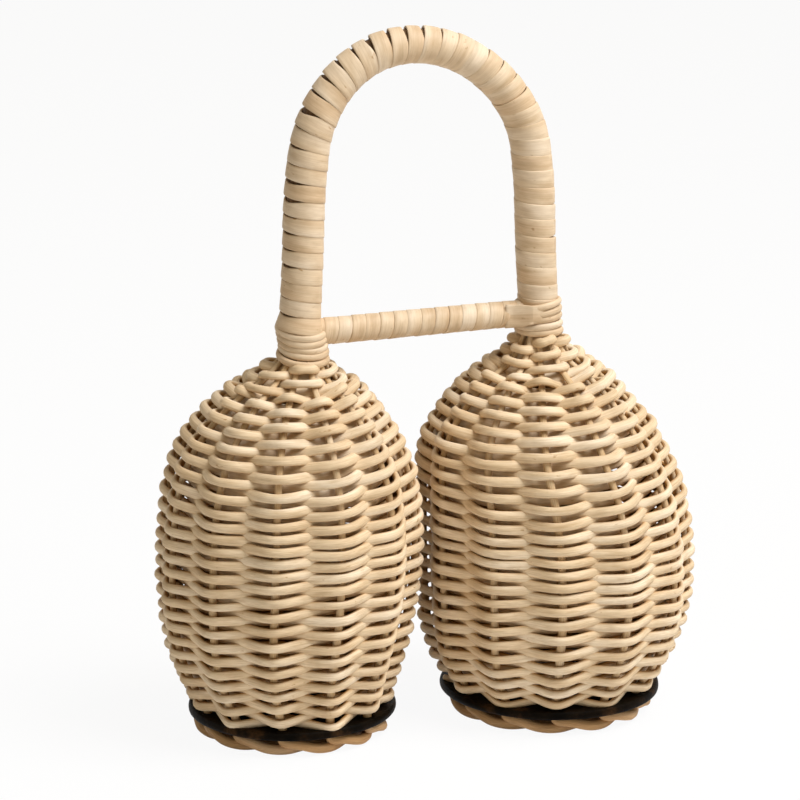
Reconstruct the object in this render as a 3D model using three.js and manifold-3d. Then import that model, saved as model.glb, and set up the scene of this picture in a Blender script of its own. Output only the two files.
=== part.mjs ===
// A double caxixi: two closed cane baskets of seeds, each on a gourd base, under one wrapped arch handle.
// Millimetres, +Z up. The left basket is at -X and the player looks along +Y. The origin is on the floor
// under the middle of the whole instrument.
import * as THREE from 'three';
import { mergeVertices } from 'three/addons/utils/BufferGeometryUtils.js';
import Module from 'manifold-3d';

const wasm = await Module();
wasm.setup();

// Clearances
const fit = 0.3; // between pieces that touch on the real object
const turnGap = 0.6; // between one turn of a winding and the next
const bellyGap = 0.4; // between the two bellies where they meet

// Stakes, the upright canes of a basket
const stakeCount = 12; // in each basket, an even number
const stakeWidth = 2.8; // across a stake, up the wall and in the border
const stakeTipWidth = 1.5; // across its shaved tip under the neck binding
const stakeSides = 6;
const wallSteps = 9; // straight lengths that a stake bends into, up the wall

// Weavers, the two canes that chase each other round a basket
const weaverHeight = 2.1; // along the wall
const weaverDepth = 1.8; // through the wall
const rowGap = 0.45; // between one row and the next

// Baskets, which differ a little, as outer radii. The hip and the belly are measured up from the gourd, and
// the shoulder, the dome and the cap down from the collar, where the stakes have come together.
const collarHeight = 124.2; // above the floor
const baseOffset = 43.3; // from the middle to each gourd base
const shoulderRadius = 40.4;
const domeDrop = 15.2;
const capDrop = 5.2;
const leftBase = 33.5;
const leftHip = 41.6;
const leftHipRise = 26.8;
const leftBelly = 43.6;
const leftBellyRise = 52.8;
const leftShoulderDrop = 33.2;
const leftDome = 28.8;
const leftCap = 16.6;
const leftOverhang = 0.2; // of the gourd past the base of the wall
const rightBase = 34.3;
const rightHip = 43.2;
const rightHipRise = 21.8;
const rightBelly = 45.3;
const rightBellyRise = 44.8;
const rightShoulderDrop = 34.2;
const rightDome = 27.6;
const rightCap = 16.4;
const rightOverhang = 1.8;

// Gourd bases
const gourdThickness = 3.8;
const gourdSag = 1.2; // how much lower its middle is than its rim
const gourdSegments = 24;

// Handle
const legFoot = 40.2; // from the middle to a leg at the neck
const legSpring = 37.4; // from the middle to a leg where the arch starts
const springHeight = 181; // where the arch starts
const archRise = 42; // from there to the crown, at the middle of the rod
const legRadius = 5.6; // of the rod in a leg
const crownRadius = 4.5; // of the rod at the crown
const tenonRadius = 4.4; // of the rod's end inside the neck
const tenonLength = 18;
const rodSides = 10;
const archPoints = 4; // on the middle line, from the spring to the crown
const archSteps = 24; // straight lengths that the rod bends into

// Crossbar
const barRadius = 2.9; // of the stick between the legs
const barTenonRadius = 2.1; // of its ends inside the legs
const barTenonLength = 5.5;

// Flat cane that wraps the handle and the crossbar
const wrapThickness = 0.8;
const handleWrapWidth = 4.7;
const barWrapWidth = 4.1;
const wrapSteps = 8; // straight lengths in one turn

// Round cane that binds each neck
const bindingWidth = 1.6;
const bindingTurns = 2.25;
const bindingSteps = 12;
const bindingSides = 6;

// Seeds
const seedLength = 7.2;
const seedDiameter = 5.6;
const seedSegments = 6;

// Heights, from the floor up. The canes of the border lie on their flats, in two layers.
const stakeFlat = stakeWidth * Math.cos(Math.PI / stakeSides);
const lowerCane = stakeFlat / 2;
const upperCane = lowerCane + stakeFlat + fit;
const gourdBottom = upperCane + stakeFlat / 2 + fit;
const gourdTop = gourdBottom + gourdThickness;
const bindingBottom = collarHeight - fit;
const bindingPitch = bindingWidth + turnGap;
const bindingTop = bindingBottom + bindingWidth + bindingTurns * bindingPitch;
const tipTop = bindingTop - bindingWidth;
const legShoulder = tipTop + fit;
const barHeight = bindingTop + fit + barRadius;

// How far a weaver's middle and its outer face stand off the line of the stakes
const weaverReach = stakeWidth / 2 + weaverDepth / 2 + 2 * fit;
const wallReach = weaverReach + weaverDepth / 2;
const rowPitch = weaverHeight + rowGap;
const neckRadius = tenonRadius + fit + stakeTipWidth / 2; // of the ring of stake tips

// The ring of the neck binding, whose straight lengths bow towards the tips
const bindingInner = neckRadius + stakeTipWidth / 2 + fit;
const bindingRadius = (bindingInner + bindingWidth / 2) / Math.cos(Math.PI / bindingSteps);
const bindingReach = bindingRadius + bindingWidth / 2;

// The two baskets, with the outer radii and the heights of their walls from the base to the cap
const baskets = [
  {
    name: 'left',
    side: -1,
    stakeAngle: 6.2, // from +X to the first stake, in degrees
    gourdRadius: leftBase + leftOverhang,
    base: leftBase,
    wall: [
      [leftBase, gourdTop],
      [leftHip, gourdTop + leftHipRise],
      [leftBelly, gourdTop + leftBellyRise],
      [shoulderRadius, collarHeight - leftShoulderDrop],
      [leftDome, collarHeight - domeDrop],
      [leftCap, collarHeight - capDrop],
    ],
  },
  {
    name: 'right',
    side: 1,
    stakeAngle: 11.6,
    gourdRadius: rightBase + rightOverhang,
    base: rightBase,
    wall: [
      [rightBase, gourdTop],
      [rightHip, gourdTop + rightHipRise],
      [rightBelly, gourdTop + rightBellyRise],
      [shoulderRadius, collarHeight - rightShoulderDrop],
      [rightDome, collarHeight - domeDrop],
      [rightCap, collarHeight - capDrop],
    ],
  },
];
const bellyOffset = (leftBelly + rightBelly + bellyGap) / 2; // from the middle to each belly's middle

// Materials
const finish = (color, roughness) => new THREE.MeshStandardMaterial({ color, roughness, metalness: 0 });
const stakeCane = () => finish('#cdb487', 0.75);
const weaverCane = () => finish('#dcc596', 0.7);
const wrapCane = () => finish('#dabd8c', 0.6);
const stickWood = () => finish('#b8945f', 0.8);
const gourdShell = () => finish('#2b1c12', 0.4);
const seedSkin = () => finish('#8d8377', 0.35);

// A closed solid through a run of like sections, each a ring of points that turns counterclockwise when
// the next section lies towards the eye
function loft(sections) {
  const ring = sections[0].length;
  const last = (sections.length - 1) * ring;
  const index = [];
  for (let start = 0; start < last; start += ring) {
    for (let k = 0; k < ring; k += 1) {
      const here = start + k;
      const next = start + ((k + 1) % ring);
      index.push(here, next, here + ring, next, next + ring, here + ring);
    }
  }
  for (let k = 1; k + 1 < ring; k += 1) {
    index.push(0, k + 1, k, last, last + k, last + k + 1);
  }
  const points = sections.flat();
  const geometry = new THREE.BufferGeometry().setFromPoints(points);
  geometry.setIndex(index);
  geometry.computeVertexNormals();
  return geometry;
}

// A regular outline that is width across its corners, with a corner facing outwards
function roundOutline(sides, width) {
  return Array.from({ length: sides }, (_, k) => {
    const angle = (2 * Math.PI * k) / sides;
    return [(Math.cos(angle) * width) / 2, (Math.sin(angle) * width) / 2];
  });
}

// An outline set at a place, with its own two axes
function section(place, outline, across, along) {
  return outline.map(([a, b]) => place.clone().addScaledVector(across, a).addScaledVector(along, b));
}

// Sections of a cane along a path: outward is the direction that each section keeps facing
function caneSections(path, outlineAt) {
  return path.map(({ place, outward }, i) => {
    const before = path[Math.max(i - 1, 0)].place;
    const after = path[Math.min(i + 1, path.length - 1)].place;
    const ahead = after.clone().sub(before).normalize();
    const along = ahead.clone().cross(outward).normalize();
    const across = along.clone().cross(ahead);
    return section(place, outlineAt(i), across, along);
  });
}

// The least distance between the corners of a winding's sections that lie half a turn or more apart
function leastGap(sections, stepsPerTurn) {
  let least = Infinity;
  for (let i = 0; i < sections.length; i += 1) {
    for (let j = i + Math.ceil(stepsPerTurn / 2); j < sections.length; j += 1) {
      for (const a of sections[i]) {
        for (const b of sections[j]) {
          least = Math.min(least, a.distanceTo(b));
        }
      }
    }
  }
  return least;
}

function reportGap(name, sections, stepsPerTurn) {
  console.log(`${name}: least gap between turns ${leastGap(sections, stepsPerTurn).toFixed(2)} mm`);
}

// A closed geometry as a solid that can be cut
function solid(geometry) {
  const bare = geometry.clone();
  bare.deleteAttribute('normal');
  bare.deleteAttribute('uv');
  const merged = mergeVertices(bare);
  const corners = merged.index.array;
  const triangles = [];
  for (let t = 0; t < corners.length; t += 3) {
    const [a, b, c] = [corners[t], corners[t + 1], corners[t + 2]];
    if (a !== b && b !== c && c !== a) {
      triangles.push(a, b, c);
    }
  }
  const vertProperties = merged.attributes.position.array;
  const triVerts = Uint32Array.from(triangles);
  return new wasm.Manifold(new wasm.Mesh({ numProp: 3, vertProperties, triVerts }));
}

function cut(geometry, tools) {
  const rest = tools.reduce((body, tool) => body.subtract(solid(tool)), solid(geometry));
  const { vertProperties, triVerts } = rest.getMesh();
  const result = new THREE.BufferGeometry();
  result.setAttribute('position', new THREE.BufferAttribute(vertProperties, 3));
  result.setIndex(new THREE.BufferAttribute(triVerts, 1));
  result.computeVertexNormals();
  return result;
}

function piece(name, geometry, material) {
  const mesh = new THREE.Mesh(geometry, material);
  mesh.name = name;
  return mesh;
}

const numbered = (name, k) => `${name}_${String(k + 1).padStart(2, '0')}`;
const outwardAt = (angle) => new THREE.Vector3(Math.cos(angle), Math.sin(angle), 0);

// The middle line of a basket, which leans out to its belly and in to the neck
function axisOffset(basket, height) {
  const share = THREE.MathUtils.clamp((height - gourdTop) / (collarHeight - gourdTop), 0, 1);
  const bow = bellyOffset - (baseOffset + legFoot) / 2;
  const straight = THREE.MathUtils.lerp(baseOffset, legFoot, share);
  return basket.side * (straight + bow * 4 * share * (1 - share));
}

// A point of a basket's wall, at a radius from its middle line
function wallPoint(basket, radius, angle, height) {
  return outwardAt(angle).multiplyScalar(radius).add(new THREE.Vector3(axisOffset(basket, height), 0, height));
}

// The line of a stake up the wall, as radius and height, in straight lengths that the weavers follow too
function wallLine(basket) {
  const wall = basket.wall.map(([outer, height]) => [outer - wallReach, height]);
  const stakeLine = [...wall, [neckRadius, collarHeight]];
  const curve = new THREE.CatmullRomCurve3(stakeLine.map(([r, z]) => new THREE.Vector3(r, 0, z)));
  const points = curve.getSpacedPoints(wallSteps);
  const tangents = points.map((_, i) => curve.getTangentAt(i / wallSteps));
  const length = curve.getLength();
  // Radius, height and the unit direction up the wall, at a distance up the line
  const at = (distance) => {
    const place = THREE.MathUtils.clamp((distance / length) * wallSteps, 0, wallSteps);
    const step = Math.min(Math.floor(place), wallSteps - 1);
    const point = points[step].clone().lerp(points[step + 1], place - step);
    const up = tangents[step].clone().lerp(tangents[step + 1], place - step).normalize();
    return { radius: point.x, height: point.z, up };
  };
  return { at, length, points };
}

const stakeAngle = (basket, k) => THREE.MathUtils.degToRad(basket.stakeAngle) + (2 * Math.PI * k) / stakeCount;

// A stake: its foot turns under the next stake as the border, then it goes through the gourd, up the wall
// and into the neck. Each border step is a share of the way to the next stake, a shift outwards in canes,
// and a height.
function stake(basket, k) {
  const pitch = stakeWidth + fit;
  const border = [
    [1.7, -1, lowerCane],
    [1.3, 0, lowerCane],
    [1, 0.75, lowerCane],
    [0.6, 0.8, (lowerCane + upperCane) / 2],
    [0.25, 0.35, upperCane],
    [0, 0, upperCane],
  ];
  const line = wallLine(basket);
  const footRadius = basket.base - wallReach;
  const path = border.map(([ahead, shift, height]) => {
    const angle = stakeAngle(basket, k + ahead);
    const place = wallPoint(basket, footRadius + shift * pitch, angle, height);
    return { place, outward: outwardAt(angle), width: stakeWidth };
  });
  const angle = stakeAngle(basket, k);
  const outward = outwardAt(angle);
  line.points.forEach((point, i) => {
    const width = THREE.MathUtils.lerp(stakeWidth, stakeTipWidth, (i / wallSteps) ** 2);
    path.push({ place: wallPoint(basket, point.x, angle, point.z), outward, width });
  });
  path.push({ place: wallPoint(basket, neckRadius, angle, tipTop), outward, width: stakeTipWidth });
  const sections = caneSections(path, (i) => roundOutline(stakeSides, path[i].width));
  return piece(numbered(`${basket.name}_stake`, k), loft(sections), stakeCane());
}

// A weaver: outside one stake and inside the next, two rows up in each turn. The second weaver starts a row
// higher and passes each stake on the other side.
function weaver(basket, order) {
  const line = wallLine(basket);
  const lean = line.at(0).up;
  const firstRow = fit + weaverHeight / 2 + (wallReach * lean.x) / lean.z;
  const start = firstRow + order * rowPitch;
  let end = line.length;
  while (line.at(end).radius < bindingReach + fit) {
    end -= rowGap;
  }
  const turns = Math.floor((end - start) / (2 * rowPitch));
  const outline = [
    [-weaverDepth / 2, 0],
    [weaverDepth / 2, -weaverHeight / 2],
    [weaverDepth / 2, weaverHeight / 2],
  ];
  const sections = [];
  for (let k = 0; k <= turns * stakeCount; k += 1) {
    const { radius, height, up } = line.at(start + (2 * rowPitch * k) / stakeCount);
    const angle = stakeAngle(basket, k);
    const upward = outwardAt(angle).multiplyScalar(up.x).setZ(up.z);
    const across = outwardAt(angle).multiplyScalar(up.z).setZ(-up.x);
    const inside = (k + order) % 2 === 1;
    const shift = inside ? -weaverReach : weaverReach;
    const place = wallPoint(basket, radius, angle, height).addScaledVector(across, shift);
    sections.push(section(place, outline, across, upward.negate()));
  }
  return piece(`${basket.name}_weaver_${'ab'[order]}`, loft(sections), weaverCane());
}

// How far the gourd has sagged at a radius: it is a shallow dish inside the ring of stakes
const dishRadius = (basket) => basket.base - wallReach - 2 * (stakeWidth + fit);
const sagAt = (basket, radius) => gourdSag * Math.max(0, 1 - (radius / dishRadius(basket)) ** 2);

// A gourd base: a round-edged disc, dished in the middle, with a hole for each stake
function gourdBase(basket) {
  const rim = basket.gourdRadius;
  const dish = dishRadius(basket);
  const edge = gourdThickness / 4;
  const profile = [
    [0, gourdBottom - gourdSag],
    [dish / 2, gourdBottom - sagAt(basket, dish / 2)],
    [dish, gourdBottom],
    [rim - edge, gourdBottom],
    [rim, gourdBottom + gourdThickness / 2],
    [rim - edge, gourdTop],
    [dish, gourdTop],
    [dish / 2, gourdTop - sagAt(basket, dish / 2)],
    [0, gourdTop - gourdSag],
  ];
  const disc = new THREE.LatheGeometry(profile.map(([r, z]) => new THREE.Vector2(r, z)), gourdSegments);
  disc.rotateX(Math.PI / 2).translate(axisOffset(basket, gourdTop), 0, 0);
  const footRadius = basket.base - wallReach;
  const holeRadius = (stakeWidth / 2 + fit) / Math.cos(Math.PI / stakeSides);
  const holes = Array.from({ length: stakeCount }, (_, k) => {
    const hole = new THREE.CylinderGeometry(holeRadius, holeRadius, 3 * gourdThickness, stakeSides);
    const place = wallPoint(basket, footRadius, stakeAngle(basket, k), gourdBottom + gourdThickness / 2);
    return hole.rotateX(Math.PI / 2).translate(place.x, place.y, place.z);
  });
  return piece(`${basket.name}_gourd_base`, cut(disc, holes), gourdShell());
}

// The round cane that binds the stake tips to the handle
function neckBinding(basket) {
  const steps = Math.round(bindingTurns * bindingSteps);
  const path = Array.from({ length: steps + 1 }, (_, i) => {
    const angle = (2 * Math.PI * i) / bindingSteps;
    const height = bindingBottom + bindingWidth / 2 + (bindingPitch * i) / bindingSteps;
    return { place: wallPoint(basket, bindingRadius, angle, height), outward: outwardAt(angle) };
  });
  const sections = caneSections(path, () => roundOutline(bindingSides, bindingWidth));
  const name = `${basket.name}_neck_binding`;
  reportGap(name, sections, bindingSteps);
  return piece(name, loft(sections), wrapCane());
}

// The middle line of the handle: up a leg, over half an ellipse and down the other leg
function handleCurve() {
  const leg = [
    [legFoot, legShoulder - tenonLength],
    [legFoot, legShoulder],
    [(legFoot + legSpring) / 2, (legShoulder + springHeight) / 2],
  ];
  const arch = Array.from({ length: archPoints }, (_, i) => {
    const angle = (Math.PI / 2) * (i / archPoints);
    return [legSpring * Math.cos(angle), springHeight + archRise * Math.sin(angle)];
  });
  const left = [...leg, ...arch].map(([x, z]) => new THREE.Vector3(-x, 0, z));
  const right = [...leg, ...arch].map(([x, z]) => new THREE.Vector3(x, 0, z)).reverse();
  const crown = new THREE.Vector3(0, 0, springHeight + archRise);
  return new THREE.CatmullRomCurve3([...left, crown, ...right]);
}

const handle = handleCurve();
const handleLength = handle.getLength();

// The rod is thick in the legs and thinner at the crown
function rodRadius(height) {
  const share = THREE.MathUtils.smoothstep(height, springHeight, springHeight + archRise);
  return THREE.MathUtils.lerp(legRadius, crownRadius, share);
}

// A point near the handle: a distance along it, a turn round it and a stand-off from its middle line
function handlePoint(distance, turn, standOff) {
  const share = distance / handleLength;
  const middle = handle.getPointAt(share);
  const ahead = handle.getTangentAt(share);
  const outward = new THREE.Vector3(-ahead.z, 0, ahead.x);
  const depth = new THREE.Vector3(0, -1, 0);
  const direction = outward.multiplyScalar(Math.cos(turn)).addScaledVector(depth, Math.sin(turn));
  return { place: middle.clone().addScaledVector(direction, standOff), middle };
}

function rodRing(distance, radius) {
  return Array.from({ length: rodSides }, (_, k) => {
    return handlePoint(distance, (2 * Math.PI * k) / rodSides, radius).place;
  });
}

// The rod of the handle, with a tenon into each neck and a socket for each end of the crossbar
function handleCore() {
  const sections = [rodRing(0, tenonRadius), rodRing(tenonLength, tenonRadius)];
  for (let i = 0; i <= archSteps; i += 1) {
    const distance = tenonLength + ((handleLength - 2 * tenonLength) * i) / archSteps;
    sections.push(rodRing(distance, rodRadius(handlePoint(distance, 0, 0).middle.z)));
  }
  sections.push(rodRing(handleLength - tenonLength, tenonRadius), rodRing(handleLength, tenonRadius));
  const socketRadius = (barTenonRadius + fit) / Math.cos(Math.PI / rodSides);
  const socketLength = 2 * legFoot - 2 * (legRadius - barTenonLength - fit);
  const socket = new THREE.CylinderGeometry(socketRadius, socketRadius, socketLength, rodSides);
  socket.rotateZ(Math.PI / 2).translate(0, 0, barHeight);
  return piece('handle_core', cut(loft(sections), [socket]), stickWood());
}

// The stick between the legs, with a thinner tenon at each end
function crossbarCore() {
  const shoulder = legFoot - legRadius - fit;
  const end = shoulder + fit + barTenonLength;
  const profile = [
    [0, -end],
    [barTenonRadius, -end],
    [barTenonRadius, -shoulder],
    [barRadius, -shoulder],
    [barRadius, shoulder],
    [barTenonRadius, shoulder],
    [barTenonRadius, end],
    [0, end],
  ];
  const stick = new THREE.LatheGeometry(profile.map(([r, x]) => new THREE.Vector2(r, x)), rodSides);
  stick.rotateZ(-Math.PI / 2).translate(0, 0, barHeight);
  return piece('crossbar_core', stick, stickWood());
}

// A flat cane wound left-handed over a rod, from one count of turns to another: pointAt gives a place from
// a distance along the rod, a turn round it and a stand-off from the rod's surface
function flatWrap(name, start, from, to, width, pointAt) {
  const steps = Math.round((to - from) * wrapSteps);
  const sections = [];
  for (let i = 0; i <= steps; i += 1) {
    const turns = THREE.MathUtils.lerp(from, to, i / steps);
    const low = start + (width + turnGap) * turns;
    const turn = -2 * Math.PI * turns;
    sections.push([
      pointAt(low, turn, fit),
      pointAt(low, turn, fit + wrapThickness),
      pointAt(low + width, turn, fit + wrapThickness),
      pointAt(low + width, turn, fit),
    ]);
  }
  reportGap(name, sections, wrapSteps);
  return piece(name, loft(sections), wrapCane());
}

// Flat lengths of cane bow towards the rod, so their corners stand further off
const bowedStandOff = (radius, gap) => (radius + fit) / Math.cos(Math.PI / wrapSteps) + gap - fit;

function handleWraps() {
  const onRod = (distance, turn, gap) => {
    const radius = rodRadius(handlePoint(distance, 0, 0).middle.z);
    return handlePoint(distance, turn, bowedStandOff(radius, gap)).place;
  };
  const start = tenonLength + barHeight - legShoulder + barRadius + fit;
  const turns = (handleLength - 2 * start - handleWrapWidth) / (handleWrapWidth + turnGap);
  const join = turnGap / (4 * Math.PI * crownRadius);
  return [
    flatWrap('handle_wrap_left', start, 0, turns / 2 - join, handleWrapWidth, onRod),
    flatWrap('handle_wrap_right', start, turns / 2 + join, turns, handleWrapWidth, onRod),
  ];
}

function crossbarWrap() {
  const half = legFoot - bindingReach - fit;
  const onBar = (distance, turn, gap) => {
    const standOff = bowedStandOff(barRadius, gap);
    return new THREE.Vector3(distance, Math.sin(turn) * standOff, barHeight - Math.cos(turn) * standOff);
  };
  const turns = (2 * half - barWrapWidth) / (barWrapWidth + turnGap);
  return flatWrap('crossbar_wrap', -half, 0, turns, barWrapWidth, onBar);
}

// Seeds lie on the gourd, as tear shapes on their sides. The middle row is thrown up and the others sweep
// to and fro. A seat is a place on the gourd, in seed lengths from its middle.
const thrownSeats = [-2.1, -1.05, 0, 1.05, 2.1].map((y) => [0, y]);
const sweptSeats = [
  [1.32, 0.7],
  [1.32, -0.7],
  [2.3, -0.1],
  [-1.32, -0.55],
  [-2.1, 0.4],
];

function seed(basket, [across, deep], k) {
  const half = seedLength / 2;
  const profile = [
    [0, -half],
    [seedDiameter * 0.38, -half * 0.75],
    [seedDiameter / 2, -half * 0.1],
    [seedDiameter * 0.3, half * 0.6],
    [0, half],
  ];
  const body = new THREE.LatheGeometry(profile.map(([r, y]) => new THREE.Vector2(r, y)), seedSegments);
  const mesh = piece(numbered(`${basket.name}_seed`, k), body, seedSkin());
  const reach = (Math.hypot(across, deep) + 1) * seedLength;
  const seat = gourdTop - sagAt(basket, reach);
  const middle = axisOffset(basket, gourdTop);
  mesh.position.set(middle + across * seedLength, deep * seedLength, seat + fit + seedDiameter / 2);
  mesh.rotation.z = k;
  return mesh;
}

// The whole instrument
const instrument = new THREE.Group();
for (const basket of baskets) {
  for (let k = 0; k < stakeCount; k += 1) {
    instrument.add(stake(basket, k));
  }
  instrument.add(weaver(basket, 0), weaver(basket, 1), gourdBase(basket), neckBinding(basket));
  [...thrownSeats, ...sweptSeats].forEach((seat, k) => instrument.add(seed(basket, seat, k)));
}
instrument.add(handleCore(), ...handleWraps(), crossbarCore(), crossbarWrap());

// The middle of the box that holds it all goes over the origin
const box = new THREE.Box3().setFromObject(instrument);
const centre = box.getCenter(new THREE.Vector3());
instrument.position.set(-centre.x, -centre.y, -box.min.z);

export default instrument;
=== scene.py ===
# The looks of a double caxixi: two baskets woven of round cane over gourd discs, under one arched handle that
# is wrapped with flat cane. Sizes are in millimetres unless a comment says otherwise, and +Z is up.
import math

import bpy
import numpy as np
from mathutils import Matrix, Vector


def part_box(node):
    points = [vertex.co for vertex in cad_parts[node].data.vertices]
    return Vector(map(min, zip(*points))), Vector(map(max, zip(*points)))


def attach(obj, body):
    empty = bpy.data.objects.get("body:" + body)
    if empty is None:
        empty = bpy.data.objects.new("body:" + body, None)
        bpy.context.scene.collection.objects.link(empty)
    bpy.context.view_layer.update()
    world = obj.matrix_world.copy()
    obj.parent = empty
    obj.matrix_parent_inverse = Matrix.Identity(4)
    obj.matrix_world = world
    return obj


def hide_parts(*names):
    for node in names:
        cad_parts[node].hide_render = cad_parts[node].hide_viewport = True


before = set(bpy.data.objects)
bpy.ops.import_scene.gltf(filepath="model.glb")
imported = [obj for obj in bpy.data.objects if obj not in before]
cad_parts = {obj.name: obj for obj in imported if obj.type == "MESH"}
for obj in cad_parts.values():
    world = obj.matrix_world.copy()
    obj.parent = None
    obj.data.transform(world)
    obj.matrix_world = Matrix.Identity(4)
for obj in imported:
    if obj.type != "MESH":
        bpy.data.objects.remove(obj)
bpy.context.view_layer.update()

MM = 0.001
PER_MM = 1 / MM
SEED = 7

# Stakes and weavers
STAKES = 12
STAKE_WIDTH = 2.9
STAKE_DEPTH = 2.3  # through the wall
STAKE_TIP = 0.6  # of its width at its foot
BORDER_WIDTH = 3.4  # of a stake's foot, pressed flat in the border
BORDER_SPACING = 3.1  # of the canes in the border, side by side
STRAND_HEIGHT = 2.85  # of a weaver outside the stakes, along the wall
INNER_HEIGHT = 4.8  # of a weaver inside them, where it is pressed flat
STRAND_GROWTH = [(0, 0.98), (0.5, 0.95), (0.8, 1.04), (1, 1.08)]  # share of its run, and of its size there
STRAND_DEPTH = 2.3  # of a weaver, through the wall
INNER_PAINTED_SHADE = 1.4  # painted shade: how much deeper in the wall a weaver counts, for its colour, where it is inside the stakes of an upright wall
WALL_REACH = 3.35  # from the line of the stakes to the outside of the wall
LOW_PITCH = 2.3  # of the rows on the gourd
TOP_PITCH = 2.55  # of the rows at the neck
FIRST_STAKE = 11  # where one weaver starts, with the other on the far side
PAIR_RADIUS = 15  # within which a weaver takes the stakes two by two
FRONT = math.radians(-110)  # the side to which the rows dip
DOME_DIP = 0.13  # of the radius
DOME_REACH = (-8, 32)  # up the wall from the belly, over which the dip grows
NECK_REACH = (7, 17)  # radius over which it fades
ROW_WAVES = [(0.45, 2, 9), (0.3, 3, -4.5)]  # of the rows: height, number round, rise for each radian
WAVE_RISE = 15  # up the wall from the gourd, over which they grow
SETTLE = 0.5  # of the first rows, down over the gourd
SAG = 0.05  # of a weaver where it passes outside a stake
DOME_SAG = 1.0  # more of it, where the wall lies flat
SPAN_STEPS = 12  # in a weaver, from one stake to the next
SHARP_STEPS = 5  # over which a weaver bends at a stake, where it bends sharply
SOFT_STEPS = 9  # where it bends softly
SHARP_BEND = 1.5  # how far it is bent there, before the bend is rounded
SOFT_BEND = 2.1
PAIR_BEND = 1.1  # where it takes the stakes two by two
SOFT_RUN = 25  # up the wall from the belly, over which its bends go from sharp to soft
LEVEL_ROWS = 3  # about so many rows lie level before they climb
ROW_UNEVEN = 0.1  # of its height at a stake
REACH_UNEVEN = 0.12  # of its depth at a stake
SIZE_UNEVEN = 0.06  # share of its size
STAKE_SWELL = 1.02  # share of its height, at a stake
SPAN_THINNING = 0.1  # share of its height, lost between two stakes
GRAIN_RANGE = 1000  # along a cane, so that no two canes have the same grain

# Heights
LOWER_CANE = 1.8  # middle of the border's lower layer
UPPER_CANE = 4.4  # middle of its upper layer
GOURD_TOP = 9.0
GOURD_THICKNESS = 2.8
GOURD_SAG = 1.2
GOURD_OVERHANG = 1.01  # share of the radius that the solid has
HOLE_FIT = 0.3  # more across than a stake
NECK_TIP = 4.0  # from where the stakes have come together to their tips

# Offsets and radii
LEG_FOOT = 41.0  # from the middle of the handle to each leg, at the neck
NECK_RADIUS = 5.45  # of the ring of stake tips
BINDING_WIDTH = 2.4
BINDING_RADIUS = 7.6  # at its top
BINDING_TAPER = 0.6  # towards the basket
BINDING_DEPTH = 0.8  # share of its width
BINDING_STEPS = 40  # in one turn
BINDING_TUCK = 1.4  # of its ends, inwards
TUCK_STEPS = 10  # over which they go in

# Handle and crossbar
LEG_SHOULDER = 129.15
TENON = 18.0
TENON_RADIUS = 3.4
LEG_SPRING = 38.5  # from the middle to each leg, where the arch starts
SPRING_HEIGHT = 181.0
ARCH_RISE = 42.0
ARCH_LEAN = 0.09  # of its left shoulder over its right one, for each millimetre across
ARCH_SHIFT = -0.35
LEG_RADIUS = 5.6
CROWN_RADIUS = 5.0
BAR_HEIGHT = 132.8
BAR_SLOPE = 0.013
BAR_RADIUS = 3.35
WRAP_THICKNESS = 0.8
WRAP_GAP = 0.1  # over the rod
WRAP_FOOT = 132  # height of the handle wrap's lowest turn
HANDLE_PITCH = 5.3
BAR_PITCH = 4.7
WRAP_STEPS = 36  # in one turn of flat cane
WRAP_MEET = 0.01  # turns from the middle of the handle to the end of each wrap
BAR_END_FROM = -124  # degrees round the right leg, where the end of the crossbar's cane comes to it
BAR_END_TO = -84  # where it goes in under the binding
BAR_END_REACH = (3.2, 0.8)  # off the leg, there and there
BAR_END_RISE = 0.6  # over the crossbar's middle

# Seeds
SEEDS = 10  # in each basket
THROWN_SEEDS = 5  # the first of them, while the others sweep over the gourd
SEED_LENGTH = 7.2
SEED_RADIUS = 2.8
SEED_SWEEP = 6.0  # to each side
SEED_GAP = 0.03  # under a seed


# Lines and runs of numbers

def unit(vectors):
    return vectors / np.linalg.norm(vectors, axis=-1, keepdims=True)


def distances(line):
    """How far along a line each of its points is."""
    return np.concatenate([[0], np.cumsum(np.linalg.norm(np.diff(line, axis=0), axis=1))])


def spline(points, per_span):
    """A smooth line through points, a centripetal Catmull-Rom curve."""
    p = np.asarray(points, float)
    p = np.vstack([2 * p[0] - p[1], p, 2 * p[-1] - p[-2]])
    t = np.linspace(0, 1, per_span, endpoint=False)[:, None]
    line = []
    for a, b, c, d in zip(p, p[1:], p[2:], p[3:]):
        before, here, after = (np.linalg.norm(v) ** 0.5 for v in (b - a, c - b, d - c))
        leave = ((b - a) / before - (c - a) / (before + here) + (c - b) / here) * here
        arrive = ((c - b) / here - (d - b) / (here + after) + (d - c) / after) * here
        line.append((2 * t ** 3 - 3 * t ** 2 + 1) * b + (t ** 3 - 2 * t ** 2 + t) * leave
                    + (3 * t ** 2 - 2 * t ** 3) * c + (t ** 3 - t ** 2) * arrive)
    return np.vstack([*line, p[-2]])


def soften(values, width):
    """Values averaged over an odd number of steps."""
    edge = width // 2
    padded = np.pad(values, [(edge, edge)] + [(0, 0)] * (values.ndim - 1), mode="edge")
    total = np.cumsum(np.concatenate([np.zeros_like(padded[:1]), padded]), axis=0)
    return (total[width:] - total[:-width]) / width


def between(fine, step, values):
    """Rows of values at fine steps."""
    return np.stack([np.interp(fine, step, column) for column in values.T], -1)


def drift(rng, count, every, size):
    """A slowly changing random run of values, with a new one about every so many steps."""
    knots = rng.normal(0, size, count // every + 3)
    return np.interp(np.arange(count) / every, np.arange(len(knots)), knots)


def outwards(angle):
    """Unit vectors away from a basket's middle line."""
    return np.stack([np.cos(angle), np.sin(angle), np.zeros_like(angle)], -1)


# Meshes

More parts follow.
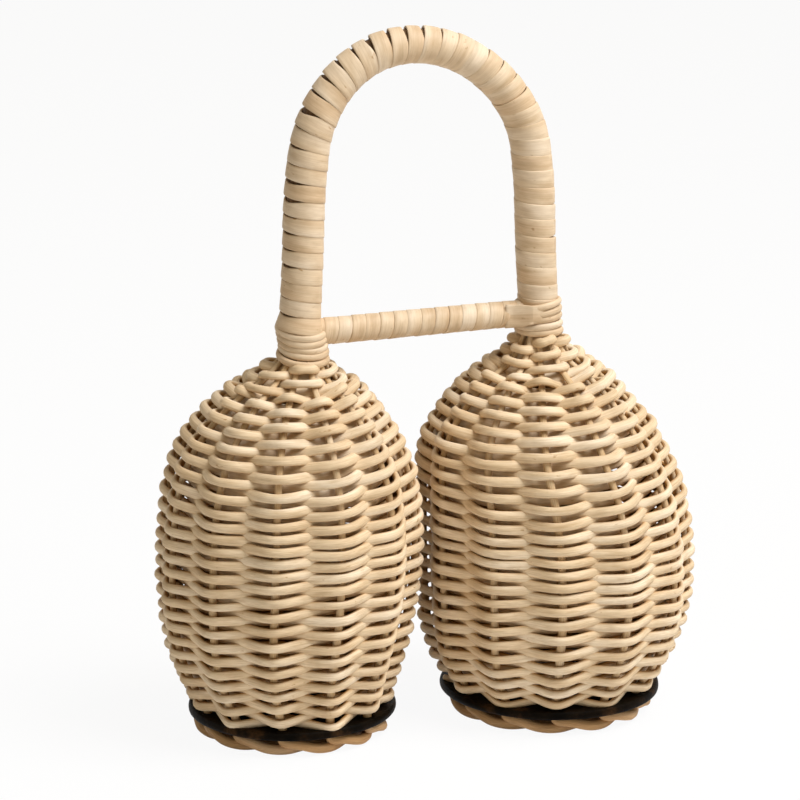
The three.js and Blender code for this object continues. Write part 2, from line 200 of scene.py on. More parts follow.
def oval(sides, depth, height):
    """An oval outline, facing outwards. Depth and height are one value, or one for each step."""
    turn = np.linspace(0, 2 * np.pi, sides, endpoint=False)
    return np.stack([np.multiply.outer(depth, np.cos(turn)), np.multiply.outer(height, np.sin(turn))], -1) / 2


def tube(path, outward, outline, start):
    """A tube along a path, as rings of points and the cane's grain at each: along, through and across it."""
    ahead = unit(np.gradient(path, axis=0))
    along = unit(np.cross(ahead, outward))
    across = np.cross(along, ahead)
    outline = np.broadcast_to(outline, (len(path), *outline.shape[-2:]))
    grid = path[:, None] + across[:, None] * outline[..., :1] + along[:, None] * outline[..., 1:]
    run = np.broadcast_to((start + distances(path))[:, None, None], (*grid.shape[:2], 1))
    return grid, np.concatenate([run, outline], -1)


def loft(name, tubes, material):
    """One object made of closed tubes."""
    faces = []
    caps = []
    first = 0
    for grid, _ in tubes:
        steps, ring = grid.shape[:2]
        index = first + np.arange(steps * ring).reshape(steps, ring)
        here, ahead = index[:-1], index[1:]
        sides = np.stack([here, np.roll(here, -1, 1), np.roll(ahead, -1, 1), ahead], -1)
        faces += sides.reshape(-1, 4).tolist()
        caps += [len(faces), len(faces) + 1]
        faces += [index[0, ::-1].tolist(), index[-1].tolist()]
        first += steps * ring
    points = np.concatenate([grid.reshape(-1, 3) for grid, _ in tubes])
    grain = np.concatenate([grain.reshape(-1, 3) for _, grain in tubes])
    mesh = bpy.data.meshes.new(name)
    mesh.from_pydata((points * MM).tolist(), [], faces)
    mesh.attributes.new("grain", "FLOAT_VECTOR", "POINT").data.foreach_set("vector", grain.ravel())
    mesh.shade_smooth()
    for cap in caps:
        mesh.polygons[cap].use_smooth = False
    return add_piece(name, mesh, material)


def add_piece(name, mesh, material):
    mesh.materials.append(material)
    piece = bpy.data.objects.new(name, mesh)
    bpy.context.scene.collection.objects.link(piece)
    return piece


def fix(piece, slot, body, *nodes):
    """The piece stands for CAD nodes and moves with their body. The slot is not used."""
    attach(piece, body)
    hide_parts(*nodes)


def lathe(profile, segments, wobble):
    """A turned solid from a profile of radius and height that starts and ends on the axis. Wobble gives how
    much each ring's radius changes with the angle."""
    turn = np.linspace(0, 2 * np.pi, segments, endpoint=False)
    rings = [[(r * s * math.cos(a), r * s * math.sin(a), z) for a, s in zip(turn, wobble(turn))]
             for r, z in profile[1:-1]]
    points = [(0, 0, profile[0][1]), *[p for ring in rings for p in ring], (0, 0, profile[-1][1])]
    faces = []
    for k in range(segments):
        after = (k + 1) % segments
        faces.append((0, 1 + after, 1 + k))
        for i in range(len(rings) - 1):
            low = 1 + i * segments
            faces.append((low + k, low + after, low + segments + after, low + segments + k))
        last = 1 + (len(rings) - 1) * segments
        faces.append((last + k, last + after, len(points) - 1))
    mesh = bpy.data.meshes.new("turned")
    mesh.from_pydata((np.array(points) * MM).tolist(), [], faces)
    mesh.shade_smooth()
    return mesh


# Materials

WHITE = (1, 1, 1)


def add_node(tree, kind, inputs, **settings):
    """A shader node. An input is a value, or a socket to link."""
    made = tree.nodes.new(kind)
    for key, value in settings.items():
        setattr(made, key, value)
    for key, value in inputs.items():
        if isinstance(value, bpy.types.NodeSocket):
            tree.links.new(value, made.inputs[key])
        else:
            made.inputs[key].default_value = value
    return made


def noise(tree, coordinates, scale, detail=4.0):
    """Noise whose scale may differ along each axis, in features per unit of the coordinates."""
    mapped = add_node(tree, "ShaderNodeMapping", {"Vector": coordinates, "Scale": scale})
    made = add_node(tree, "ShaderNodeTexNoise", {"Vector": mapped.outputs[0], "Scale": 1.0, "Detail": detail})
    return made.outputs["Fac"]


def ramp(tree, factor, *stops):
    """A colour for each stop of a factor."""
    made = add_node(tree, "ShaderNodeValToRGB", {"Fac": factor})
    elements = made.color_ramp.elements
    while len(elements) < len(stops):
        elements.new(0.5)
    for element, (place, colour) in zip(elements, stops):
        element.position = place
        element.color = (*colour, 1.0)
    return made.outputs["Color"]


def tint(tree, colour, share, factor, *stops):
    """A colour multiplied by a share of a ramp."""
    inputs = {0: share, 6: colour, 7: ramp(tree, factor, *stops)}
    made = add_node(tree, "ShaderNodeMix", inputs, data_type="RGBA", blend_type="MULTIPLY")
    return made.outputs[2]


def place_on(tree):
    """Coordinates on the piece, in metres."""
    return add_node(tree, "ShaderNodeTexCoord", {}).outputs["Object"]


def part(tree, vector, axis):
    return add_node(tree, "ShaderNodeSeparateXYZ", {"Vector": vector}).outputs[axis]


def share_of(tree, value, low, high):
    """Where a value is between two others, from 0 to 1."""
    made = add_node(tree, "ShaderNodeMapRange", {"Value": value, "From Min": low, "From Max": high})
    return made.outputs["Result"]


def spread(tree, value, low, high):
    """A value from 0 to 1 spread between two others."""
    made = add_node(tree, "ShaderNodeMapRange", {"Value": value, "To Min": low, "To Max": high})
    return made.outputs["Result"]


def bump(tree, height, strength, depth):
    made = add_node(tree, "ShaderNodeBump", {"Height": height, "Strength": strength, "Distance": depth * MM})
    return made.outputs["Normal"]


def surface(name, specular):
    """A new material, with its node tree and its shader."""
    material = bpy.data.materials.new(name)
    material.use_nodes = True
    shader = material.node_tree.nodes["Principled BSDF"]
    shader.inputs["Specular IOR Level"].default_value = specular
    return material, material.node_tree, shader


def connect(tree, shader, **sockets):
    for name, socket in sockets.items():
        tree.links.new(socket, shader.inputs[name.replace("_", " ")])


def cane(name, dark, middle, light, roughness, fibrous, foot=0.0):
    """Peeled cane: hue that drifts along it, fine fibres along it and a few stains. Painted shade makes it
    browner on its inner side and below the height of a foot."""
    material, tree, shader = surface(name, 0.35)
    grain = add_node(tree, "ShaderNodeAttribute", {}, attribute_name="grain").outputs["Vector"]
    hue = noise(tree, grain, (0.018, 0.1, 0.1), 3.0)
    patches = noise(tree, grain, (0.12, 0.5, 0.5))
    fibres = noise(tree, grain, (0.05, 3.2, 3.2), 6.0)
    stains = noise(tree, grain, (0.3, 0.6, 0.6), 2.0)
    outer = share_of(tree, part(tree, grain, "Y"), -1.0, 0.2)
    colour = ramp(tree, hue, (0.38, dark), (0.5, middle), (0.61, light))
    colour = tint(tree, colour, 1.0, patches, (0.3, (0.82, 0.78, 0.72)), (0.6, WHITE))
    colour = tint(tree, colour, fibrous, fibres, (0.32, (0.74, 0.66, 0.55)), (0.62, WHITE))
    colour = tint(tree, colour, 1.0, stains, (0.7, WHITE), (0.8, (0.62, 0.48, 0.32)))
    # Painted shade: browner on the inner side of a cane, from its depth through the wall (outer is 0 on the
    # inner side)
    colour = tint(tree, colour, 1.0, outer, (0, (0.62, 0.42, 0.17)), (1, WHITE))
    if foot:
        # Painted shade: browner towards the floor, below the height of a foot
        clear_of_painted_shade = share_of(tree, part(tree, place_on(tree), "Z"), 0.0, foot * MM)
        colour = tint(tree, colour, 1.0, clear_of_painted_shade, (0.5, (0.84, 0.72, 0.62)), (1, WHITE))
    rough = spread(tree, patches, roughness - 0.12, roughness + 0.12)
    connect(tree, shader, Base_Color=colour, Roughness=rough, Normal=bump(tree, fibres, 0.45 * fibrous, 0.25))
    return material


def gourd_shell():
    """Dried gourd, dyed nearly black and waxed, with worn brown patches."""
    material, tree, shader = surface("gourd_shell", 0.03)
    place = place_on(tree)
    patches = noise(tree, place, (0.12 * PER_MM,) * 3)
    pores = noise(tree, place, (1.1 * PER_MM,) * 3, 5.0)
    black = (0.003, 0.002, 0.001)
    dark = (0.01, 0.006, 0.003)
    brown = (0.06, 0.03, 0.012)
    colour = ramp(tree, patches, (0.4, black), (0.56, dark), (0.7, brown))
    colour = tint(tree, colour, 0.7, pores, (0.35, (0.35, 0.3, 0.25)), (0.6, WHITE))
    connect(tree, shader, Base_Color=colour, Roughness=spread(tree, pores, 0.35, 0.6),
            Normal=bump(tree, pores, 0.4, 0.4))
    return material


def stick_wood():
    """The dark stick under the cane."""
    material, tree, shader = surface("stick_wood", 0.3)
    place = place_on(tree)
    rings = noise(tree, place, (0.8 * PER_MM, 0.8 * PER_MM, 0.06 * PER_MM), 5.0)
    colour = ramp(tree, rings, (0.35, (0.07, 0.035, 0.014)), (0.65, (0.2, 0.11, 0.05)))
    connect(tree, shader, Base_Color=colour, Roughness=spread(tree, rings, 0.6, 0.85),
            Normal=bump(tree, rings, 0.4, 0.3))
    return material


def seed_skin():
    """Hard grey seeds, mottled with brown."""
    material, tree, shader = surface("seed_skin", 0.5)
    place = place_on(tree)
    mottle = noise(tree, place, (0.35 * PER_MM,) * 3)
    brown = (0.1, 0.07, 0.045)
    grey = (0.27, 0.22, 0.17)
    pale = (0.42, 0.38, 0.33)
    colour = ramp(tree, mottle, (0.35, brown), (0.5, grey), (0.66, pale))
    connect(tree, shader, Base_Color=colour, Roughness=spread(tree, mottle, 0.2, 0.4))
    return material


# Baskets

class Basket:
    """A basket's wall: the line of its stakes, as radius and height, round a middle line that leans out and
    forward. The outer line is of radius and height, and the lean is outwards, forward and height."""

    def __init__(self, name, side, stake_angle, collar, woven, lean, outer):
        low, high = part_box(f"{name}_gourd_base")
        self.name = name
        self.side = side
        self.collar = collar
        self.first = math.radians(stake_angle)
        self.middle = (low.x + high.x) / 2 / MM
        self.gourd_radius = (high.y - low.y) / 2 / MM
        self.lean = spline(lean, 20)
        self.foot = outer[0][0] - WALL_REACH
        self.dish = self.foot - 2 * STAKE_WIDTH
        stakes = [(radius - WALL_REACH, height) for radius, height in outer]
        self.line = spline([*stakes, (NECK_RADIUS, collar)], 40)
        self.run = distances(self.line)
        self.up = unit(np.gradient(self.line, axis=0))
        self.belly = self.run[self.line[:, 0].argmax()]
        self.top = np.interp(woven, self.line[:, 1], self.run)

    def angle(self, stake):
        return self.first + 2 * np.pi * np.asarray(stake, float) / STAKES

    def axis(self, height):
        """The point of the middle line at a height."""
        out, forward = (np.interp(height, self.lean[:, 2], self.lean[:, i]) for i in (0, 1))
        return np.stack([self.middle + self.side * out, -forward, np.asarray(height, float)], -1)

    def round(self, radius, angle, height):
        """A point at a radius from the middle line."""
        height = np.broadcast_to(np.asarray(height, float), np.shape(angle))
        return self.axis(height) + outwards(angle) * np.asarray(radius, float)[..., None]

    def sag(self, radius):
        """How far the gourd's dish is below its rim, at a radius."""
        return GOURD_SAG * np.clip(1 - (radius / self.dish) ** 2, 0, None)

    def above_gourd(self, points):
        """How far points are above the gourd."""
        middle = self.axis(GOURD_TOP)
        radius = np.linalg.norm((points - middle)[:, :2], axis=1)
        return points[:, 2] - GOURD_TOP + self.sag(radius)

    def wall(self, distance, angle, shift):
        """A point at a distance up the wall, shifted out of it, with the direction out of the wall."""
        radius, height = (np.interp(distance, self.run, self.line[:, i]) for i in (0, 1))
        rise_out, rise_up = (np.interp(distance, self.run, self.up[:, i]) for i in (0, 1))
        out = outwards(angle) * rise_up[..., None]
        out[..., 2] = -rise_out
        return self.round(radius, angle, height) + out * np.asarray(shift)[..., None], out

    def look(self, distance):
        """The radius at a distance up the wall, and how fast it grows."""
        return np.interp(distance, self.run, self.line[:, 0]), np.interp(distance, self.run, self.up[:, 0])

    def stray(self, angle, distance):
        """How far the rows stray from level: they wave above the gourd, and on the dome they dip to the
        front."""
        wave = sum(height * np.sin(count * angle + distance / rise + (count - 1) * self.side)
                   for height, count, rise in ROW_WAVES)
        radius, _ = self.look(distance)
        share = np.interp(distance - self.belly, DOME_REACH, (0, 1)) * np.interp(radius, NECK_REACH, (0, 1))
        dip = DOME_DIP * radius * share ** 2 * (3 - 2 * share) * np.cos(angle - FRONT)
        return wave * np.clip(distance / WAVE_RISE, 0, 1) - dip


def weave(basket, order, material):
    """A weaver: outside one stake and inside the next, two rows up in each turn. It sags where it passes
    outside, and its first rows lie down on the gourd. It bends sharply at the stakes below the belly, and
    softly above. Its end is tucked in."""
    rng = np.random.default_rng([SEED, basket.side + 1, order])
    lean = basket.up[0, 0] / basket.up[0, 1]
    middle = WALL_REACH - STRAND_DEPTH / 2
    start = STRAND_HEIGHT / 2 + (middle - 1) * lean
    rows = int((basket.top - start) / (LOW_PITCH + TOP_PITCH) * 2)
    half_turn = STAKES // 2
    step = np.arange(rows * half_turn + 1)
    row = step / half_turn
    climb = LOW_PITCH * row + (TOP_PITCH - LOW_PITCH) * row ** 2 / (2 * rows)
    climb = climb - LOW_PITCH * (row % 1) * np.exp(-np.floor(row) / LEVEL_ROWS)
    place = FIRST_STAKE + order * half_turn + step
    angle = basket.angle(place)
    radius, slope = basket.look(start + climb)
    paired = radius < PAIR_RADIUS
    outside = (np.where(paired, place // 2, place) + order) % 2 == 0
    outside[-2:] = False
    soft = np.clip((start + climb - basket.belly) / SOFT_RUN, 0, 1)
    sag = np.where(outside, 1, -1) * (SAG * (1 - soft) + DOME_SAG * np.clip(-slope, 0, 1))
    settle = np.where(outside, SETTLE * row * np.exp(1 - row), 0)
    level = start + climb - settle + basket.stray(angle, start + climb) + rng.normal(0, ROW_UNEVEN, len(step))
    reach = np.where(outside, 1, -1) * (middle + rng.normal(0, REACH_UNEVEN, len(step)))
    fine = np.linspace(0, len(step) - 1, (len(step) - 1) * SPAN_STEPS + 1)
    paths = []
    for bend, width in ((SHARP_BEND, SHARP_STEPS), (SOFT_BEND, SOFT_STEPS)):
        bends, out = basket.wall(level - bend * sag, angle, np.where(paired, PAIR_BEND, bend) * reach)
        outward = between(fine, step, out)
        paths.append(soften(soften(between(fine, step, bends), width), 3))
    path = paths[0] + (paths[1] - paths[0]) * np.interp(fine, step, soft)[:, None]
    thinned = STAKE_SWELL - SPAN_THINNING * np.sin(np.pi * fine) ** 2
    thick = np.interp(fine / fine[-1], *zip(*STRAND_GROWTH))
    thick = thick + soften(drift(rng, len(fine), 4 * SPAN_STEPS, SIZE_UNEVEN), SPAN_STEPS + 1)
    height = np.interp(fine, step, np.where(outside, STRAND_HEIGHT, INNER_HEIGHT))
    outline = oval(10, STRAND_DEPTH * thick, height * thick * thinned)
    grid, grain = tube(path, outward, outline, GRAIN_RANGE * rng.random())
    # Painted shade: a weaver inside the stakes takes the browner inner-side colour, less where the wall lies
    # flat
    shade = np.where(outside, 0, INNER_PAINTED_SHADE * np.clip(1 + slope, 0, 1))
    grain[..., 1] -= np.interp(fine, step, shade)[:, None]
    name = f"{basket.name}_weaver_{'ab'[order]}"
    piece = loft(f"{name}_cane", [(grid, grain)], material)
    fix(piece, "weaver_cane", "frame", name)


def stake(basket, k, material):
    """A stake: its foot turns under the next ones as the border, then it goes through the gourd and up the
    wall."""
    rng = np.random.default_rng([SEED, basket.side + 1, 10 + k])
    # Stakes ahead, canes outwards, height
    border = [
        (2.3, -1.7, LOWER_CANE + 0.8),
        (1.75, -1.6, LOWER_CANE + 0.8),
        (1.4, -1.0, LOWER_CANE + 0.4),
        (1.05, -0.35, LOWER_CANE),
        (0.7, 0.15, LOWER_CANE + 0.6),
        (0.35, 0.25, UPPER_CANE - 0.4),
        (0.0, 0.0, UPPER_CANE + 0.6),
    ]
    ahead, shift, height = np.array(border).T
    angle = basket.angle(k + ahead)
    foot = basket.round(basket.foot + shift * BORDER_SPACING, angle, height)
    rise = np.linspace(0, basket.run[-1], 14)
    up, _ = basket.wall(rise, np.full_like(rise, basket.angle(k)), np.zeros_like(rise))
    tip = basket.round(np.array([NECK_RADIUS]), basket.angle([k]), basket.collar + NECK_TIP)
    path = spline(np.vstack([foot, up, tip]), 6)
    turn = np.concatenate([angle, np.full(len(rise) + 1, basket.angle(k))])
    outward = outwards(np.interp(np.arange(len(path)) / 6, np.arange(len(turn)), turn))
    share = np.linspace(0, 1, len(path))
    size = 1 - (1 - STAKE_TIP) * share ** 3 + drift(rng, len(path), 12, 0.02)
    in_wall = np.clip((path[:, 2] - GOURD_TOP) / GOURD_THICKNESS, 0, 1)
    in_border = np.clip((UPPER_CANE + 1 - path[:, 2]) / 1.5, 0, 1)
    width = (STAKE_WIDTH + (BORDER_WIDTH - STAKE_WIDTH) * in_border) * size
    depth = width + (STAKE_DEPTH - STAKE_WIDTH) * size * in_wall
    outline = oval(12, depth, width)
    name = f"{basket.name}_stake_{k + 1:02d}"
    piece = loft(f"{name}_cane", [tube(path, outward, outline, GRAIN_RANGE * rng.random())], material)
    fix(piece, "stake_cane", "frame", name)


def gourd_disc(basket, material):
    """A disc of gourd shell, dished in the middle, a little out of round, with a hole for each stake."""
    rng = np.random.default_rng([SEED, basket.side + 1, 40])
    phase = rng.random(4) * 2 * np.pi
    waves = [(2, 0.004), (3, 0.005), (5, 0.003), (9, 0.0015)]  # number round the rim, share of the radius

    def wobble(turn):
        return 1 + sum(size * np.cos(n * turn + p) for (n, size), p in zip(waves, phase))

    rim = basket.gourd_radius * GOURD_OVERHANG
    edge = GOURD_THICKNESS / 2
    radii = np.linspace(0, basket.dish, 9)
    sag = basket.sag(radii)
    low = [(r, -GOURD_THICKNESS - s) for r, s in zip(radii, sag)]
    round_edge = [(rim - edge * (1 - 0.9 * math.cos(a)) * 0.6, -edge + edge * math.sin(a))
                  for a in np.linspace(-math.pi / 2, math.pi / 2, 9)]
    high = [(r, -s) for r, s in zip(radii, sag)][::-1]
    name = f"{basket.name}_gourd_base"
    piece = add_piece(f"{name}_shell", lathe([*low, *round_edge, *high], 120, wobble), material)
    piece.location = Vector(basket.axis(GOURD_TOP)) * MM
    hole = oval(16, STAKE_WIDTH + HOLE_FIT, STAKE_WIDTH + HOLE_FIT)
    drills = []
    for out in outwards(basket.angle(np.arange(STAKES))):
        path = basket.foot * out + np.outer([-3 * GOURD_THICKNESS, 0, 2 * GOURD_THICKNESS], (0, 0, 1))
        drills.append(tube(path, np.tile(out, (3, 1)), hole, 0))
    drill = loft("drill", drills, material)
    drill.location = piece.location
    cut = piece.modifiers.new("holes", "BOOLEAN")
    cut.object = drill
    bpy.context.view_layer.update()
    shell = bpy.data.meshes.new_from_object(piece.evaluated_get(bpy.context.evaluated_depsgraph_get()))
    piece.modifiers.clear()
    piece.data = shell
    bpy.data.objects.remove(drill)
    fix(piece, "gourd", "frame", name)


def neck_binding(basket, material, turns, low, high, tilt, start):
    """Round cane that binds the stake tips to the handle, with its ends tucked in. It tilts to the right as
    it goes up, and to the back."""
    rng = np.random.default_rng([SEED, basket.side + 1, 50])
    steps = int(turns * BINDING_STEPS)
    share = np.linspace(0, 1, steps + 1)
    angle = start - 2 * np.pi * turns * share
    tuck = np.clip(1 - np.minimum(share, 1 - share) * steps / TUCK_STEPS, 0, 1) ** 2
    height = low + (high - low) * share + drift(rng, steps + 1, 11, 0.12)
    height = height + BINDING_RADIUS * (tilt[0] * np.cos(angle) * share + tilt[1] * np.sin(angle))
    stakes = np.interp(height, basket.line[:, 1], basket.line[:, 0])
    radius = np.maximum(BINDING_RADIUS - BINDING_TAPER * (1 - share), stakes + BINDING_DEPTH * BINDING_WIDTH)
    radius = radius + drift(rng, steps + 1, 9, 0.12) - BINDING_TUCK * tuck
    path = soften(basket.round(radius, angle, height), 5)
    width = BINDING_WIDTH * (1 + drift(rng, steps + 1, 15, 0.05))
    outline = oval(10, width * BINDING_DEPTH, width)
    name = f"{basket.name}_neck_binding"
    piece = loft(f"{name}_cane", [tube(path, outwards(angle), outline, 0)], material)
    fix(piece, "wrap_cane", "frame", name)


# Handle

class Arch:
    """The handle's rod: its middle line, from one tenon over the crown to the other, and its radius."""

    def __init__(self):
        low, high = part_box("handle_core")
        leg = [(LEG_FOOT, LEG_SHOULDER - TENON), (LEG_FOOT, LEG_SHOULDER),
               ((LEG_FOOT + LEG_SPRING) / 2, (LEG_SHOULDER + SPRING_HEIGHT) / 2)]
        quarter = np.linspace(0, math.pi / 2, 4, endpoint=False)
        arch = [(LEG_SPRING * math.cos(a), SPRING_HEIGHT + ARCH_RISE * math.sin(a)) for a in quarter]
        half = np.array([*leg, *arch])
        crown = [(0, SPRING_HEIGHT + ARCH_RISE)]
        self.line = spline(np.vstack([half * (-1, 1), crown, half[::-1]]), 40)
        rise = np.clip((self.line[:, 1] - SPRING_HEIGHT) / ARCH_RISE, 0, 1)
        self.line[:, 1] -= ARCH_LEAN * self.line[:, 0] * rise
        self.line[:, 0] += (low.x + high.x) / 2 / MM + ARCH_SHIFT
        self.run = distances(self.line)
        self.length = self.run[-1]
        self.ahead = unit(np.gradient(self.line, axis=0))
        turn = np.unwrap(np.arctan2(self.ahead[:, 1], self.ahead[:, 0]))
        self.curve = soften(-np.gradient(turn, self.run), 21)

    def look(self, distance, values):
        return np.interp(distance, self.run, values)

    def radius(self, distance):
        share = np.clip((self.look(distance, self.line[:, 1]) - SPRING_HEIGHT) / ARCH_RISE, 0, 1)
        return LEG_RADIUS + (CROWN_RADIUS - LEG_RADIUS) * share ** 2 * (3 - 2 * share)

    def point(self, distance, turn, stand_off):
        """A point off the rod's surface, at a turn round it that starts outside the arch."""
        reach = self.radius(distance) + stand_off
        ahead = np.stack([self.look(distance, self.ahead[:, i]) for i in (0, 1)], -1)
        out = reach * np.cos(turn)
        x = self.look(distance, self.line[:, 0]) - ahead[..., 1] * out
        z = self.look(distance, self.line[:, 1]) + ahead[..., 0] * out
        return np.stack([x, -reach * np.sin(turn), z], -1)

    def stretch(self, distance, turn):
        """How much longer the rod's surface is than its middle line, where it bends."""
        return 1 + self.look(distance, self.curve) * (self.radius(distance) + WRAP_THICKNESS) * np.cos(turn)


class Bar:
    """What the crossbar's cane is wound on: the stick, padded out below."""

    def __init__(self):
        low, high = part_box("crossbar_core")
        self.middle = (low.x + high.x) / 2 / MM

    def height(self, distance):
        return BAR_HEIGHT + BAR_SLOPE * distance

    def point(self, distance, turn, stand_off):
        reach = BAR_RADIUS + stand_off
        z = self.height(distance) - reach * np.cos(turn)
        return np.stack([self.middle + distance, reach * np.sin(turn), z], -1)

    def stretch(self, distance, turn):
        return np.ones_like(distance)


def flat_cane(rod, start, pitch, first, last, rng, width, lift, uneven, flare=0.0, crack=(0.0, 0.0)):
    """Flat cane wound left-handed over a rod. Each turn's low edge lies on the turn before, by lift, and the
    first turn flares. A crack, of about the first width, give or take the second, is left at the outside of
    each turn."""
    steps = int((last - first) * WRAP_STEPS)
    turns = np.linspace(first, last, steps + 1)
    turn = (-2 * np.pi * turns)[:, None]
    middle = (start + pitch * turns)[:, None]
    low = -width / 2 + soften(drift(rng, steps + 1, WRAP_STEPS // 2, uneven), 9)
    high = width / 2 + soften(drift(rng, steps + 1, WRAP_STEPS, uneven / 2), 9)
    opening = np.clip(crack[0] + drift(rng, steps + 1, WRAP_STEPS, crack[1]), 0, None)
    high = high - soften(opening, 9) * np.clip(np.cos(turn[:, 0]), 0, 1) ** 1.5
    share = np.array([0.0, 0.05, 0.2, 0.4, 0.6, 0.8, 0.95, 1.0])
    worn = np.array([0.16, 0.03, 0.0, 0.0, 0.0, 0.0, 0.03, 0.16])
    slope = lift * (1 - share)
    outer = WRAP_GAP + WRAP_THICKNESS + slope - worn
    inner = (WRAP_GAP + slope)[::-1]
    both = np.concatenate([share, share[::-1]])
    across = low[:, None] + (high - low)[:, None] * both
    stand_off = np.broadcast_to(np.concatenate([outer, inner]), across.shape)
    stand_off = stand_off + soften(drift(rng, steps + 1, WRAP_STEPS // 3, 0.05), 7)[:, None]
    first_turn = np.interp(turns, [0.15, 0.4, 1.05, 1.25], [0, 1, 1, 0])[:, None]
    stand_off = stand_off + flare * first_turn * (1 - both)
    distance = middle + across / np.sqrt(rod.stretch(middle, turn))
    grid = rod.point(distance, np.broadcast_to(turn, distance.shape), stand_off)
    run = np.broadcast_to(turns[:, None] * 2 * np.pi * (LEG_RADIUS + 1), across.shape)
    return grid, np.stack([run, stand_off, across], -1)


def handle_rod(arch, material):
    """The rod under the cane, with a tenon in each neck."""
    x, z = arch.line.T
    radius = np.where(z < LEG_SHOULDER, TENON_RADIUS, arch.radius(arch.run))
    path = np.stack([x, np.zeros_like(x), z], -1)
    outward = np.stack([-arch.ahead[:, 1], np.zeros_like(x), arch.ahead[:, 0]], -1)
    piece = loft("handle_core_rod", [tube(path, outward, oval(16, 2 * radius, 2 * radius), 0)], material)
    fix(piece, "stick", "frame", "handle_core")


def handle_wraps(arch, material):
    """Flat cane round each half of the arch. The two meet under the crown."""
    start = WRAP_FOOT - LEG_SHOULDER + TENON
    turns = (arch.length - 2 * start) / HANDLE_PITCH
    meet = math.floor(turns / 2) + 0.5
    left = flat_cane(arch, start, HANDLE_PITCH, 0, meet - WRAP_MEET, np.random.default_rng([SEED, 60]),
                     width=5.6, lift=0.25, uneven=0.2, flare=1.2, crack=(1.2, 0.5))
    right = flat_cane(arch, start, HANDLE_PITCH, meet + WRAP_MEET, turns, np.random.default_rng([SEED, 61]),
                      width=5.75, lift=0.18, uneven=0.3, crack=(0.15, 0.7))
    for name, strip in (("handle_wrap_left", left), ("handle_wrap_right", right)):
        fix(loft(f"{name}_cane", [strip], material), "wrap_cane", "frame", name)


def bar_end(bar):
    """The end of the crossbar's cane, laid over the front of the right leg. It narrows and goes in under the
    binding."""
    share = np.linspace(0, 1, 19)
    turn = np.radians(np.interp(share, [0, 1], [BAR_END_FROM, BAR_END_TO]))
    leg = np.array([bar.middle + ARCH_SHIFT + LEG_FOOT, 0, bar.height(LEG_FOOT) + BAR_END_RISE])
    root = [leg + (-back, -BAR_RADIUS - out, -BAR_END_RISE) for back, out in ((13, 0.2), (10, 0.9))]
    reach = LEG_RADIUS + np.interp(share, [0, 1], BAR_END_REACH)
    path = spline(np.vstack([root, leg + outwards(turn) * reach[:, None]]), 3)
    along = distances(path) / distances(path)[-1]
    facing = np.interp(along, [0, 0.2, 0.45, 1], [-98, -108, -120, BAR_END_TO])
    width = np.interp(along, [0, 0.4, 1], [8.0, 7.4, 4.0])
    return tube(path, outwards(np.radians(facing)), oval(16, np.full(len(path), WRAP_THICKNESS), width), 0)


def crossbar_wrap(material):
    """Flat cane round the crossbar, from inside one leg to inside the other."""
    bar = Bar()
    half = LEG_FOOT - LEG_RADIUS + BAR_PITCH / 2
    strip = flat_cane(bar, -half, BAR_PITCH, 0, 2 * half / BAR_PITCH, np.random.default_rng([SEED, 62]),
                      width=4.9, lift=0.2, uneven=0.12)
    fix(loft("crossbar_wrap_cane", [strip, bar_end(bar)], material), "wrap_cane", "frame", "crossbar_wrap")


# Seeds

def seed(basket, k, swept, material):
    """A hard tear-shaped seed that lies on its side on the gourd. One that sweeps clears the gourd on its
    way."""
    node = f"{basket.name}_seed_{k + 1:02d}"
    low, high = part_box(node)
    outline = [(0, -1), (0.46, -0.95), (0.82, -0.6), (1, -0.1), (0.79, 0.4), (0.39, 0.75), (0, 1)]
    profile = spline([(r * SEED_RADIUS, z * SEED_LENGTH / 2) for r, z in outline], 5)
    profile[0, 0] = profile[-1, 0] = 0
    mesh = lathe(profile, 24, lambda turn: 1 + 0.02 * np.cos(3 * turn + k))
    piece = add_piece(f"{node}_tear", mesh, material)
    piece.rotation_euler = (-math.pi / 2, 0, k)
    middle = (low + high) / 2
    turned = piece.rotation_euler.to_matrix()
    points = np.array([turned @ vertex.co + middle for vertex in mesh.vertices]) / MM
    sweep = SEED_SWEEP if swept else 0
    drop = min(basket.above_gourd(points + (0, move, 0)).min() for move in (-sweep, 0, sweep))
    piece.location = middle - Vector((0, 0, (drop - SEED_GAP) * MM))
    fix(piece, "seed", f"{basket.name}_{'swept' if swept else 'thrown'}_seeds", node)


# The instrument

